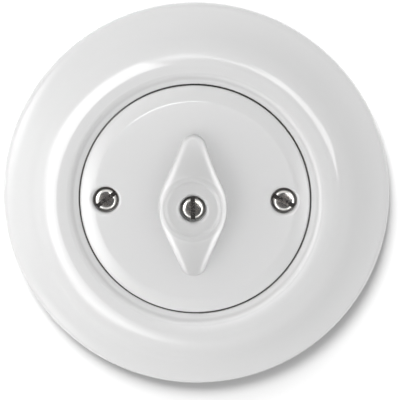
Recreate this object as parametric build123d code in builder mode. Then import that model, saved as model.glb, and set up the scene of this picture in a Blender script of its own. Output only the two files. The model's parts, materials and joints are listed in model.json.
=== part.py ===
from build123d import *
from math import acos, asin, atan2, cos, degrees, hypot, radians, sin, sqrt
import os

# Flush-mounted rotary light switch: porcelain frame, cover plate and knob over a two-way drum switch.
# Millimetres. The wall is the plane Y = 0, the room is at -Y and +Z is up. A height is a distance from
# the wall towards the room, so what lies behind the wall has a negative height.

# Porcelain frame
frame_diameter = 100.0
frame_height = 12.0
frame_foot = 4.6
frame_wall = 3.6
foot_radius = 0.8
rim_radius = 1.8
rim_height = 2.48
flange_angle = 18.0
swell_share = 0.5842
crest_inset = 5.6
bead_radius = 24.0
lip_inset = 2.65
lip_radius = 2.0
lip_angle = 36.0
bore_edge_radius = 0.5
ledge_height = 6.6
ledge_width = 3.1
ledge_thickness = 2.7

# Porcelain cover plate
plate_diameter = 59.0
plate_gap = 0.35
plate_height = 12.0
plate_thickness = 3.9
plate_shoulder = 3.9
plate_shoulder_drop = 1.0
plate_shoulder_radius = 16.0
plate_skirt = 3.6
plate_edge_radius = 0.9
plate_bend_radius = 2.0
recess_soft_edge = 0.8

# Slotted screws with domed heads
screw_diameter = 3.0
head_diameter = 6.0
head_height = 2.1
head_side = 1.75
head_roll = 1.25
slot_width = 1.15
slot_depth = 1.0
head_play = 0.35
screw_play = 0.2
thread_play = 0.03
cover_screw_inset = 6.7
cover_screw_sink = 2.3
cover_screw_grip = 5.0
left_slot_angle = 37.0
right_slot_angle = -27.0
knob_slot_angle = 91.0
base_slot_angle = 20.0
clamp_slot_angle = 0.0

# Porcelain knob
knob_length = 38.6
knob_width = 18.5
knob_height = 14.3
knob_gap = 0.4
knob_tip_radius = 4.5
knob_waist_radius = 14.6
knob_flank_hollow = 5.0
knob_draft = 9.0
knob_crown_radius = 30.0
knob_edge_radius = 2.4
knob_dish_radius = 7.2
knob_dish_depth = 0.7
knob_throat_radius = 1.1
knob_screw_sink = 4.3
knob_web = 2.2
knob_spigot_diameter = 11.2
knob_spigot_length = 3.6
spigot_play = 0.4
dish_roll = 0.9
dish_soft_edge = 0.6

# Spindle and its bearings
spindle_square = 5.6
square_play = 0.04
journal_diameter = 8.0
journal_play = 0.05
pintle_diameter = 5.0
pintle_length = 3.0
clip_thickness = 0.8
clip_diameter = 12.0
clip_groove_diameter = 6.4
clip_mouth = 4.6
clip_play = 0.15
knob_screw_grip = 6.5

# Support ring, posts and bearing bridge
box_screw_spacing = 60.0
box_slot_length = 7.0
box_slot_width = 4.1
ring_margin = 2.0
ring_thickness = 1.2
ring_opening = 35.0
post_diameter = 5.4
post_tenon_diameter = 3.8
post_gap = 0.3
disc_play = 0.3
bridge_thickness = 1.5
bridge_width = 13.0
bridge_margin = 4.0
collar_diameter = 12.4
collar_height = 2.8
collar_fillet = 0.8

# Steatite base
base_diameter = 49.0
base_depth = 22.0
base_floor = 4.5
base_edge_radius = 1.2
base_screw_inset = 4.2
base_screw_sink = 3.2
base_screw_end = 0.8
drum_room = 2.5

# Drum with its cam and contact ring
drum_diameter = 18.0
drum_front_gap = 0.5
cam_width = 11.0
cam_corner = 2.6
cam_length = 4.3
drum_back_gap = 1.1
contact_wall = 2.0
slip_ring_share = 0.431
tab_share = 0.448
tab_width = 7.0
tab_angle = 45.0

# Detent springs
detent_thickness = 0.5
detent_width = 3.8
detent_anchor = 2.4
detent_play = 0.06
detent_slot_play = 0.15

# Terminals and leaf contacts
terminal_width = 8.0
terminal_depth = 8.0
terminal_length = 14.0
terminal_front = 4.0
terminal_play = 0.15
terminal_sink = 2.0
wire_bore_diameter = 3.2
wire_bore_depth = 10.0
wire_bore_inset = 3.9
clamp_inset = 6.2
clamp_head_height = 1.7
contact_thickness = 0.5
contact_play = 0.08
contact_bend = 0.8
contact_inset = 0.5
rivet_diameter = 1.8
rivet_head_diameter = 3.0
rivet_head_height = 0.5
rivet_grip = 2.0
common_angle = 225.0
first_way_angle = 135.0
second_way_angle = 45.0

# Places that follow from the sizes
frame_radius = frame_diameter / 2
plate_radius = plate_diameter / 2
bore_radius = plate_radius + plate_gap
crest_reach = bore_radius + crest_inset
flange_sine, flange_cosine = sin(radians(flange_angle)), cos(radians(flange_angle))
swell_radius = swell_share * (frame_radius - crest_reach)
swell_centre = (crest_reach, frame_height - swell_radius)
rim_centre = (frame_radius - rim_radius, rim_height)
rim_run = rim_centre[0] - swell_centre[0]
rim_rise = rim_centre[1] - swell_centre[1]
rim_lean = rim_run * flange_sine + rim_rise * flange_cosine
rim_span = rim_run**2 + rim_rise**2 + rim_radius**2 + 2 * rim_radius * rim_lean
flange_radius = (rim_span - swell_radius**2) / (2 * (swell_radius - rim_radius - rim_lean))
flange_centre = (
    rim_centre[0] + (flange_radius + rim_radius) * flange_sine,
    rim_centre[1] + (flange_radius + rim_radius) * flange_cosine,
)
swell_angle = degrees(asin((flange_centre[0] - swell_centre[0]) / (swell_radius + flange_radius)))
bead_slope = asin((crest_inset - lip_inset) / bead_radius)
bead_angle = degrees(bead_slope)
lip_slope = radians(lip_angle)
lip_centre = (
    crest_reach - (bead_radius - lip_radius) * sin(bead_slope),
    frame_height - bead_radius + (bead_radius - lip_radius) * cos(bead_slope),
)
lip_end = (lip_centre[0] - lip_radius * sin(lip_slope), lip_centre[1] + lip_radius * cos(lip_slope))
bore_edge = (bore_radius, lip_end[1] - (lip_end[0] - bore_radius) * sin(lip_slope) / cos(lip_slope))
foot_inner = frame_radius - frame_foot
ledge_inner = bore_radius - ledge_width
ledge_bottom = ledge_height - ledge_thickness
plate_under = plate_height - plate_thickness
cover_screw_reach = plate_radius - cover_screw_inset
cover_screw_seat = plate_height - cover_screw_sink
recess_radius = head_diameter / 2 + head_play
screw_hole_radius = screw_diameter / 2 + screw_play
thread_radius = screw_diameter / 2 + thread_play
knob_base = plate_height + knob_gap
knob_top = knob_base + knob_height
knob_screw_seat = knob_top - knob_screw_sink
knob_undercut = knob_height * sin(radians(knob_draft)) / cos(radians(knob_draft))
crown_centre = knob_top - knob_crown_radius
dish_rim = crown_centre + sqrt(knob_crown_radius**2 - knob_dish_radius**2)
dish_floor = dish_rim - knob_dish_depth
dish_floor_radius = knob_dish_radius - knob_dish_depth
dish_mouth = dish_floor + knob_width - dish_floor_radius
spindle_top = knob_screw_seat - knob_web
spigot_bottom = knob_base - knob_spigot_length
bridge_front = ring_thickness + bridge_thickness
collar_top = bridge_front + collar_height
clip_back = collar_top + clip_play
ring_diameter = box_screw_spacing + box_slot_length + 2 * ring_margin
post_top = plate_under - post_gap
drum_radius = drum_diameter / 2
cavity_radius = drum_radius + drum_room
cavity_floor = base_floor - base_depth
base_screw_spacing = base_diameter - 2 * base_screw_inset
base_screw_seat = base_screw_sink - base_depth
cam_front = -drum_front_gap
drum_front = cam_front - cam_length
drum_back = cavity_floor + drum_back_gap
drum_length = drum_front - drum_back
slip_ring_length = slip_ring_share * drum_length
tab_length = tab_share * drum_length
contact_width = slip_ring_length - 2 * contact_inset
slip_ring_front = drum_back + slip_ring_length
detent_reach = cam_width / 2 + detent_play + detent_thickness / 2
detent_half_length = sqrt(cavity_radius**2 - detent_reach**2) + detent_anchor
terminal_outer = base_diameter / 2 - terminal_sink
terminal_inner_radius = terminal_outer - terminal_depth
terminal_back = -terminal_front - terminal_length
wire_reach = terminal_outer - wire_bore_inset
clamp_height = terminal_back + clamp_inset
pocket_width = terminal_width + 2 * terminal_play

# FACE looks at the switch from the room, and SECTION holds radius and height
FACE = Plane(origin=(0, 0, 0), x_dir=(1, 0, 0), z_dir=(0, -1, 0))
SECTION = Plane(origin=(0, 0, 0), x_dir=(1, 0, 0), z_dir=(0, 0, -1))


def radial_face(angle, height):
    """Plane across the switch at a height, with its x axis along the radius at an angle."""
    across = (cos(radians(angle)), 0, sin(radians(angle)))
    return Plane(origin=(0, -height, 0), x_dir=across, z_dir=(0, -1, 0))


def radial_seat(angle, reach, height):
    """Plane at a radius that faces outwards along the radius at an angle."""
    outwards = (cos(radians(angle)), 0, sin(radians(angle)))
    origin = (reach * outwards[0], -height, reach * outwards[2])
    return Plane(origin=origin, x_dir=(0, -1, 0), z_dir=outwards)


def slotted_screw(seat, length, crown_height, slot_angle):
    """Slotted screw with a domed head whose underside lies on the seat plane."""
    profile = Plane(origin=seat.origin, x_dir=seat.x_dir, z_dir=-seat.y_dir)
    head_radius = head_diameter / 2
    side = head_side * crown_height / head_height
    with BuildPart() as screw:
        with BuildSketch(profile):
            with BuildLine():
                Polyline((0, crown_height), (0, 0), (head_radius, 0), (head_radius, side))
                bulge = (side + crown_height) / 2 + (crown_height - side) / 4
                ThreePointArc((head_radius, side), (head_radius / 2, bulge), (0, crown_height))
            make_face()
            shoulder = vertices().sort_by_distance((head_radius, side))[0]
            fillet(shoulder, radius=head_roll * crown_height / head_height)
        revolve(axis=Axis(seat.origin, seat.z_dir))
        with BuildSketch(seat):
            Circle(screw_diameter / 2)
        extrude(amount=-length)
        with BuildSketch(seat.offset(crown_height)):
            Rectangle(2 * head_diameter, slot_width, rotation=slot_angle)
        extrude(amount=-slot_depth, mode=Mode.SUBTRACT)
    return screw.part


def knob_outline(inset):
    """Closed outline of the knob, drawn in by an inset: round waist and tips joined by hollow flanks."""
    waist_centre = knob_width / 2 - knob_waist_radius
    tip_centre = knob_length / 2 - knob_tip_radius
    waist_radius = knob_waist_radius - inset
    tip_radius = knob_tip_radius - inset
    span = hypot(waist_centre, tip_centre)
    lean = atan2(tip_centre, -waist_centre) - acos((waist_radius - tip_radius) / span)
    waist_end = lean + radians(knob_flank_hollow)
    tip_start = lean - radians(knob_flank_hollow)
    waist_point = (waist_centre + waist_radius * cos(waist_end), waist_radius * sin(waist_end))
    tip_point = (tip_radius * cos(tip_start), tip_centre + tip_radius * sin(tip_start))
    with BuildSketch() as outline:
        with BuildLine():
            CenterArc((waist_centre, 0), waist_radius, 0, degrees(waist_end))
            Spline(
                waist_point,
                tip_point,
                tangents=[(-sin(waist_end), cos(waist_end)), (-sin(tip_start), cos(tip_start))],
            )
            CenterArc((0, tip_centre), tip_radius, degrees(tip_start), 90 - degrees(tip_start))
            mirror(about=Plane.YZ)
            mirror(about=Plane.XZ)
        make_face()
    return outline.sketch


def terminal_block(angle, rivet_height):
    """Brass block with a wire bore from behind, a clamp hole from outside and a rivet hole inside."""
    middle = (terminal_inner_radius + terminal_outer) / 2
    with BuildPart() as block:
        with BuildSketch(radial_face(angle, -terminal_front)):
            with Locations((middle, 0)):
                Rectangle(terminal_depth, terminal_width)
        extrude(amount=-terminal_length)
        with BuildSketch(radial_face(angle, terminal_back)):
            with Locations((wire_reach, 0)):
                Circle(wire_bore_diameter / 2)
        extrude(amount=wire_bore_depth, mode=Mode.SUBTRACT)
        with BuildSketch(radial_seat(angle, terminal_outer, clamp_height)):
            Circle(thread_radius)
        extrude(amount=wire_reach - terminal_outer, mode=Mode.SUBTRACT)
        with BuildSketch(radial_seat(angle, terminal_inner_radius, rivet_height)):
            Circle(rivet_diameter / 2)
        extrude(amount=rivet_grip, mode=Mode.SUBTRACT)
    return block.part


def leaf_contact(angle, front):
    """Bronze strip with a foot on the terminal and a flat pad that rubs on the drum."""
    foot = terminal_inner_radius - contact_thickness / 2
    pad = drum_radius + contact_play + contact_thickness / 2
    reach = terminal_width / 2 - contact_inset - contact_thickness / 2
    with BuildPart() as leaf:
        with BuildSketch(radial_face(angle, front)):
            with BuildLine():
                FilletPolyline(
                    (foot, -reach),
                    (foot, reach),
                    (pad, reach * 2 / 3),
                    (pad, -reach * 2 / 3),
                    ((pad + foot) / 2, -reach),
                    radius=contact_bend,
                )
            trace(line_width=contact_thickness)
        extrude(amount=-contact_width)
        with BuildSketch(radial_seat(angle, terminal_inner_radius, front - contact_width / 2)):
            Circle(rivet_diameter / 2)
        extrude(amount=-contact_thickness, mode=Mode.SUBTRACT)
    return leaf.part


def contact_rivet(angle, height):
    """Rivet through a leaf contact's foot into its terminal."""
    with BuildPart() as rivet:
        with BuildSketch(radial_seat(angle, terminal_inner_radius - contact_thickness, height)):
            Circle(rivet_diameter / 2)
        extrude(amount=contact_thickness + rivet_grip)
        with BuildSketch(radial_seat(angle, terminal_inner_radius - contact_thickness, height)):
            Circle(rivet_head_diameter / 2)
        extrude(amount=-rivet_head_height)
    return rivet.part


def cover_post(side):
    """Tapped post riveted in the support ring, on the side given by a sign."""
    reach = side * cover_screw_reach
    with BuildPart() as post:
        with BuildSketch(FACE.offset(ring_thickness)):
            with Locations((reach, 0)):
                Circle(post_diameter / 2)
        extrude(amount=post_top - ring_thickness)
        with BuildSketch(FACE):
            with Locations((reach, 0)):
                Circle(post_tenon_diameter / 2)
        extrude(amount=ring_thickness)
        with BuildSketch(FACE.offset(post_top)):
            with Locations((reach, 0)):
                Circle(thread_radius)
        extrude(amount=-cover_screw_grip, mode=Mode.SUBTRACT)
    return post.part


def detent_leaf(side):
    """Flat leaf spring along one flat of the cam, on the side given by a sign."""
    with BuildPart() as spring:
        with BuildSketch(FACE.offset(cam_front - (cam_length - detent_width) / 2)):
            with Locations((side * detent_reach, 0)):
                Rectangle(detent_thickness, 2 * detent_half_length)
        extrude(amount=-detent_width)
    return spring.part


# Each way's contact rubs on the tabs, and the common contact rubs on the slip ring behind them
way_front = slip_ring_front + tab_length - contact_inset
common_front = slip_ring_front - contact_inset
way_rivet = way_front - contact_width / 2
common_rivet = common_front - contact_width / 2

os.makedirs("parts", exist_ok=True)

with BuildPart() as frame:
    with BuildSketch(SECTION):
        with BuildLine():
            rim = CenterArc(rim_centre, rim_radius, 0, 90 - flange_angle)
            flange = CenterArc(flange_centre, flange_radius, 270 - flange_angle, flange_angle - swell_angle)
            swell = CenterArc(swell_centre, swell_radius, 90 - swell_angle, swell_angle)
            bead = CenterArc((crest_reach, frame_height - bead_radius), bead_radius, 90, bead_angle)
            hollow = CenterArc(swell_centre, swell_radius - frame_wall, 90 - swell_angle, swell_angle)
            lip = CenterArc(lip_centre, lip_radius, 90 + bead_angle, lip_angle - bead_angle)
            Polyline(
                lip @ 1,
                bore_edge,
                (bore_radius, ledge_height),
                (ledge_inner, ledge_height),
                (ledge_inner, ledge_bottom),
                (bore_radius + frame_wall, ledge_bottom),
                (bore_radius + frame_wall, frame_height - frame_wall),
                hollow @ 1,
            )
            Polyline(hollow @ 0, (foot_inner, 0), (frame_radius, 0), rim @ 0)
        make_face()
        fillet(vertices().sort_by_distance(bore_edge)[0], radius=bore_edge_radius)
        fillet(vertices().sort_by_distance((frame_radius, 0))[0], radius=foot_radius)
    revolve(axis=Axis.Y)

frame.part.label = "frame"
export_step(frame.part, "parts/frame.step")

with BuildPart() as cover_plate:
    with BuildSketch(SECTION):
        with BuildLine():
            shoulder = RadiusArc(
                (plate_radius - plate_shoulder, plate_height),
                (plate_radius, plate_height - plate_shoulder_drop),
                plate_shoulder_radius,
            )
            Polyline(
                shoulder @ 1,
                (plate_radius, ledge_height),
                (plate_radius - plate_skirt, ledge_height),
                (plate_radius - plate_skirt, plate_under),
                (knob_spigot_diameter / 2 + spigot_play, plate_under),
                (knob_spigot_diameter / 2 + spigot_play, plate_height),
                shoulder @ 0,
            )
        make_face()
        bend = vertices().sort_by_distance((plate_radius - plate_shoulder, plate_height))[0]
        fillet(bend, radius=plate_bend_radius)
        edge = vertices().sort_by_distance((plate_radius, plate_height - plate_shoulder_drop))[0]
        fillet(edge, radius=plate_edge_radius)
    revolve(axis=Axis.Y)
    with BuildSketch(FACE.offset(cover_screw_seat)):
        with Locations((-cover_screw_reach, 0), (cover_screw_reach, 0)):
            Circle(recess_radius)
    extrude(amount=plate_thickness, mode=Mode.SUBTRACT)
    recess_rims = edges(Select.LAST).group_by(Axis.Y)[0]
    fillet(recess_rims, radius=recess_soft_edge)
    with BuildSketch(FACE.offset(cover_screw_seat)):
        with Locations((-cover_screw_reach, 0), (cover_screw_reach, 0)):
            Circle(screw_hole_radius)
    extrude(amount=-plate_thickness, mode=Mode.SUBTRACT)

cover_plate.part.label = "cover_plate"
export_step(cover_plate.part, "parts/cover_plate.step")

cover_screw_length = cover_screw_seat - post_top + cover_screw_grip - slot_depth

with BuildPart() as cover_screws:
    for reach, slot_angle in (
        (-cover_screw_reach, left_slot_angle),
        (cover_screw_reach, right_slot_angle),
    ):
        seat = Plane(origin=(reach, -cover_screw_seat, 0), x_dir=(1, 0, 0), z_dir=(0, -1, 0))
        add(slotted_screw(seat, cover_screw_length, head_height, slot_angle))

cover_screws.part.label = "cover_screws"
export_step(cover_screws.part, "parts/cover_screws.step")

with BuildPart() as knob:
    with BuildSketch(FACE.offset(knob_base)):
        add(knob_outline(knob_undercut))
    with BuildSketch(FACE.offset(knob_top)):
        add(knob_outline(0))
    loft(ruled=True)
    with BuildSketch(SECTION):
        with Locations((0, crown_centre)):
            Circle(knob_crown_radius)
        with Locations((knob_crown_radius / 2, crown_centre)):
            Rectangle(knob_crown_radius, 2 * knob_crown_radius, mode=Mode.INTERSECT)
    revolve(axis=Axis.Y, mode=Mode.INTERSECT)
    fillet(faces().sort_by(Axis.Y)[0].outer_wire().edges(), radius=knob_edge_radius)
    with BuildSketch(SECTION):
        with BuildLine():
            Polyline(
                (0, knob_screw_seat),
                (recess_radius, knob_screw_seat),
                (recess_radius, dish_floor),
                (dish_floor_radius, dish_floor),
                (knob_width, dish_mouth),
                (0, dish_mouth),
                close=True,
            )
        make_face()
        throat = vertices().sort_by_distance((recess_radius, dish_floor))[0]
        fillet(throat, radius=knob_throat_radius)
        corner = vertices().sort_by_distance((dish_floor_radius, dish_floor))[0]
        fillet(corner, radius=dish_roll)
    revolve(axis=Axis.Y, mode=Mode.SUBTRACT)
    dish_edge = edges(Select.LAST).filter_by(GeomType.CIRCLE).sort_by(SortBy.RADIUS)[-1]
    fillet(dish_edge, radius=dish_soft_edge)
    with BuildSketch(FACE.offset(spigot_bottom)):
        Circle(knob_spigot_diameter / 2)
    extrude(amount=knob_spigot_length)
    with BuildSketch(FACE.offset(spindle_top + square_play)):
        Rectangle(spindle_square + 2 * square_play, spindle_square + 2 * square_play)
    extrude(amount=spigot_bottom - spindle_top - square_play, mode=Mode.SUBTRACT)
    with BuildSketch(FACE.offset(knob_screw_seat)):
        Circle(screw_hole_radius)
    extrude(amount=-knob_web, mode=Mode.SUBTRACT)

knob.part.label = "knob"
export_step(knob.part, "parts/knob.step")

with BuildPart() as knob_screw:
    add(slotted_screw(FACE.offset(knob_screw_seat), knob_web + knob_screw_grip, head_height, knob_slot_angle))

knob_screw.part.label = "knob_screw"
export_step(knob_screw.part, "parts/knob_screw.step")

with BuildPart() as spindle:
    with BuildSketch(FACE.offset(spindle_top)):
        Rectangle(spindle_square, spindle_square)
    extrude(amount=drum_back - spindle_top)
    with BuildSketch(FACE):
        Circle(journal_diameter / 2)
    extrude(amount=clip_back + 2 * clip_thickness)
    with BuildSketch(FACE.offset(clip_back)):
        Circle(journal_diameter)
        Circle(clip_groove_diameter / 2, mode=Mode.SUBTRACT)
    extrude(amount=clip_thickness, mode=Mode.SUBTRACT)
    with BuildSketch(FACE.offset(drum_back)):
        Circle(pintle_diameter / 2)
    extrude(amount=cavity_floor - pintle_length - drum_back + journal_play)
    with BuildSketch(FACE.offset(spindle_top)):
        Circle(thread_radius)
    extrude(amount=-knob_screw_grip - slot_depth, mode=Mode.SUBTRACT)

spindle.part.label = "spindle"
export_step(spindle.part, "parts/spindle.step")

with BuildPart() as spindle_clip:
    with BuildSketch(FACE.offset(clip_back)):
        Circle(clip_diameter / 2)
        Circle(clip_groove_diameter / 2 + thread_play, mode=Mode.SUBTRACT)
        with Locations((clip_diameter / 2, 0)):
            Rectangle(clip_diameter, clip_mouth, mode=Mode.SUBTRACT)
    extrude(amount=clip_thickness)

spindle_clip.part.label = "spindle_clip"
export_step(spindle_clip.part, "parts/spindle_clip.step")

with BuildPart() as contact_ring:
    with BuildSketch(FACE.offset(drum_back)):
        Circle(drum_radius)
        Circle(drum_radius - contact_wall, mode=Mode.SUBTRACT)
    extrude(amount=slip_ring_length)
    with BuildSketch(FACE.offset(slip_ring_front)):
        Circle(drum_radius)
        Circle(drum_radius - contact_wall, mode=Mode.SUBTRACT)
        Rectangle(2 * drum_diameter, tab_width, rotation=tab_angle, mode=Mode.INTERSECT)
    extrude(amount=tab_length)

contact_ring.part.label = "contact_ring"
export_step(contact_ring.part, "parts/contact_ring.step")

with BuildPart() as rotor_drum:
    with BuildSketch(FACE.offset(drum_back)):
        Circle(drum_radius)
    extrude(amount=drum_length)
    with BuildSketch(FACE.offset(drum_front)):
        RectangleRounded(cam_width, cam_width, cam_corner)
    extrude(amount=cam_length)
    add(contact_ring.part, mode=Mode.SUBTRACT)
    with BuildSketch(FACE.offset(drum_back)):
        Rectangle(spindle_square + 2 * square_play, spindle_square + 2 * square_play)
    extrude(amount=drum_length + cam_length, mode=Mode.SUBTRACT)

rotor_drum.part.label = "rotor_drum"
export_step(rotor_drum.part, "parts/rotor_drum.step")

with BuildPart() as detent_spring_left:
    add(detent_leaf(-1))

detent_spring_left.part.label = "detent_spring_left"
export_step(detent_spring_left.part, "parts/detent_spring_left.step")

with BuildPart() as detent_spring_right:
    add(detent_leaf(1))

detent_spring_right.part.label = "detent_spring_right"
export_step(detent_spring_right.part, "parts/detent_spring_right.step")

with BuildPart() as support_ring:
    with BuildSketch(FACE):
        Circle(ring_diameter / 2)
        Circle(ring_opening / 2, mode=Mode.SUBTRACT)
        with Locations((0, box_screw_spacing / 2), (0, -box_screw_spacing / 2)):
            SlotOverall(box_slot_length, box_slot_width, rotation=90, mode=Mode.SUBTRACT)
        with Locations((box_screw_spacing / 2, 0), (-box_screw_spacing / 2, 0)):
            SlotOverall(box_slot_length, box_slot_width, mode=Mode.SUBTRACT)
        with Locations((0, base_screw_spacing / 2), (0, -base_screw_spacing / 2)):
            Circle(screw_hole_radius, mode=Mode.SUBTRACT)
        with Locations((-cover_screw_reach, 0), (cover_screw_reach, 0)):
            Circle(post_tenon_diameter / 2, mode=Mode.SUBTRACT)
    extrude(amount=ring_thickness)

support_ring.part.label = "support_ring"
export_step(support_ring.part, "parts/support_ring.step")

with BuildPart() as cover_post_left:
    add(cover_post(-1))

cover_post_left.part.label = "cover_post_left"
export_step(cover_post_left.part, "parts/cover_post_left.step")

with BuildPart() as cover_post_right:
    add(cover_post(1))

cover_post_right.part.label = "cover_post_right"
export_step(cover_post_right.part, "parts/cover_post_right.step")

with BuildPart() as bearing_bridge:
    with BuildSketch(FACE.offset(ring_thickness)):
        SlotOverall(base_screw_spacing + head_diameter + bridge_margin, bridge_width, rotation=90)
    extrude(amount=bridge_thickness)
    with BuildSketch(FACE.offset(bridge_front)):
        Circle(collar_diameter / 2)
    extrude(amount=collar_height)
    fillet(edges(Select.LAST).group_by(Axis.Y)[-1], radius=collar_fillet)
    with BuildSketch(FACE.offset(ring_thickness)):
        Circle(journal_diameter / 2 + journal_play)
        with Locations((0, base_screw_spacing / 2), (0, -base_screw_spacing / 2)):
            Circle(thread_radius)
    extrude(amount=bridge_thickness + collar_height, mode=Mode.SUBTRACT)

bearing_bridge.part.label = "bearing_bridge"
export_step(bearing_bridge.part, "parts/bearing_bridge.step")

base_screw_length = bridge_front + base_screw_end - base_screw_seat

with BuildPart() as base_screws:
    for rise in (-base_screw_spacing / 2, base_screw_spacing / 2):
        seat = Plane(origin=(0, -base_screw_seat, rise), x_dir=(1, 0, 0), z_dir=(0, 1, 0))
        add(slotted_screw(seat, base_screw_length, head_height, base_slot_angle))

base_screws.part.label = "base_screws"
export_step(base_screws.part, "parts/base_screws.step")

with BuildPart() as insulating_disc:
    with BuildSketch(FACE):
        Circle(ring_opening / 2 - disc_play)
        Circle(journal_diameter / 2 + disc_play, mode=Mode.SUBTRACT)
    extrude(amount=ring_thickness)

insulating_disc.part.label = "insulating_disc"
export_step(insulating_disc.part, "parts/insulating_disc.step")

with BuildPart() as base:
    with BuildSketch(FACE):
        Circle(base_diameter / 2)
    extrude(amount=-base_depth)
    fillet(edges().group_by(Axis.Y)[-1], radius=base_edge_radius)
    with BuildSketch(FACE):
        Circle(cavity_radius)
    extrude(amount=cavity_floor, mode=Mode.SUBTRACT)
    with BuildSketch(FACE):
        for side in (-1, 1):
            with Locations((side * detent_reach, 0)):
                Rectangle(detent_thickness + 2 * detent_slot_play, 2 * detent_half_length + 2 * detent_slot_play)
    extrude(amount=drum_front, mode=Mode.SUBTRACT)
    with BuildSketch(FACE.offset(cavity_floor)):
        Circle(pintle_diameter / 2 + journal_play)
    extrude(amount=-pintle_length, mode=Mode.SUBTRACT)
    with BuildSketch(FACE):
        with Locations((0, base_screw_spacing / 2), (0, -base_screw_spacing / 2)):
            Circle(screw_hole_radius)
    extrude(amount=-base_depth, mode=Mode.SUBTRACT)
    with BuildSketch(FACE.offset(base_screw_seat)):
        with Locations((0, base_screw_spacing / 2), (0, -base_screw_spacing / 2)):
            Circle(recess_radius)
    extrude(amount=-base_screw_sink, mode=Mode.SUBTRACT)
    for angle in (common_angle, first_way_angle, second_way_angle):
        pocket_start = terminal_inner_radius - contact_thickness
        with BuildSketch(radial_face(angle, -terminal_front)):
            with Locations((pocket_start, 0)):
                Rectangle(base_diameter / 2, pocket_width, align=(Align.MIN, Align.CENTER))
        extrude(amount=terminal_front - base_depth, mode=Mode.SUBTRACT)
        with BuildSketch(radial_face(angle, -terminal_front)):
            Rectangle(terminal_inner_radius, pocket_width, align=(Align.MIN, Align.CENTER))
        extrude(amount=drum_back + terminal_front, mode=Mode.SUBTRACT)

base.part.label = "base"
export_step(base.part, "parts/base.step")

with BuildPart() as common_terminal:
    add(terminal_block(common_angle, common_rivet))

common_terminal.part.label = "common_terminal"
export_step(common_terminal.part, "parts/common_terminal.step")

with BuildPart() as first_way_terminal:
    add(terminal_block(first_way_angle, way_rivet))

first_way_terminal.part.label = "first_way_terminal"
export_step(first_way_terminal.part, "parts/first_way_terminal.step")

with BuildPart() as second_way_terminal:
    add(terminal_block(second_way_angle, way_rivet))

second_way_terminal.part.label = "second_way_terminal"
export_step(second_way_terminal.part, "parts/second_way_terminal.step")

with BuildPart() as common_contact:
    add(leaf_contact(common_angle, common_front))

common_contact.part.label = "common_contact"
export_step(common_contact.part, "parts/common_contact.step")

with BuildPart() as first_way_contact:
    add(leaf_contact(first_way_angle, way_front))

first_way_contact.part.label = "first_way_contact"
export_step(first_way_contact.part, "parts/first_way_contact.step")

with BuildPart() as second_way_contact:
    add(leaf_contact(second_way_angle, way_front))

second_way_contact.part.label = "second_way_contact"
export_step(second_way_contact.part, "parts/second_way_contact.step")

with BuildPart() as contact_rivets:
    add(contact_rivet(common_angle, common_rivet))
    add(contact_rivet(first_way_angle, way_rivet))
    add(contact_rivet(second_way_angle, way_rivet))

contact_rivets.part.label = "contact_rivets"
export_step(contact_rivets.part, "parts/contact_rivets.step")

with BuildPart() as terminal_screws:
    for angle in (common_angle, first_way_angle, second_way_angle):
        seat = radial_seat(angle, terminal_outer, clamp_height)
        clamp_length = wire_bore_inset - wire_bore_diameter / 2
        add(slotted_screw(seat, clamp_length, clamp_head_height, clamp_slot_angle))

terminal_screws.part.label = "terminal_screws"
export_step(terminal_screws.part, "parts/terminal_screws.step")
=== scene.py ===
"""Rotary light switch in glazed porcelain: finishes, wall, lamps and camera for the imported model.

Metres. The wall is the plane Y = 0, the room is at -Y and +Z is up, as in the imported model.
"""

import json
import logging
import math
from abc import ABC, abstractmethod
from dataclasses import dataclass, field
from enum import Enum
from typing import Any

import bpy
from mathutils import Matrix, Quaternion, Vector

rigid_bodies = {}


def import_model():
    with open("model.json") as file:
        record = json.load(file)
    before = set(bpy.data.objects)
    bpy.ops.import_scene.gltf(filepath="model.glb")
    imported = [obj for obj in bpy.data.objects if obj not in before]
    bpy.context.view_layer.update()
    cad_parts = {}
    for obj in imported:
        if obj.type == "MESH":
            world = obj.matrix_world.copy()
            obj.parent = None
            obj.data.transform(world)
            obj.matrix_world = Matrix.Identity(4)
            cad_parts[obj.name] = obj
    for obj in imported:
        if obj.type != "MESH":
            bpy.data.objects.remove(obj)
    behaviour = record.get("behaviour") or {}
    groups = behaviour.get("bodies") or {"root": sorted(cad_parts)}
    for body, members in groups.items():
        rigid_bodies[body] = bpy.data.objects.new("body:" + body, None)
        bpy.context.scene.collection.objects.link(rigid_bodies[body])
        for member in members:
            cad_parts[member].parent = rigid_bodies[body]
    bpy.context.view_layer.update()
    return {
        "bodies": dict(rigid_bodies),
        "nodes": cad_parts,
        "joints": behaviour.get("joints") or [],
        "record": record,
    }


LOG = logging.getLogger("rotary_switch")
MM = 0.001
LEAST_ROUGHNESS = 0.02
# places of a mix node's sockets: how far it mixes, what it mixes, and what comes out
SHARE = 0
VALUE_A, VALUE_B, VALUE_OUT = 2, 3, 0
COLOUR_A, COLOUR_B, COLOUR_OUT = 6, 7, 2


def linear(code: str) -> tuple[float, float, float, float]:
    """Turns an sRGB hex code into the linear colour that a shader takes.

    Args:
        code: colour as "#RRGGBB".

    Returns:
        Linear red, green and blue, and an alpha of 1.
    """
    channels = [int(code[start : start + 2], 16) / 255 for start in (1, 3, 5)]
    red, green, blue = [
        c / 12.92 if c <= 0.04045 else ((c + 0.055) / 1.055) ** 2.4 for c in channels
    ]
    return red, green, blue, 1.0


def per_metre(size_mm: float) -> float:
    """Turns the size of a pattern's marks into the texture scale that gives it.

    Args:
        size_mm: how far apart the marks are.

    Returns:
        How many marks there are in a metre.
    """
    return 1 / (size_mm * MM)


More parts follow.
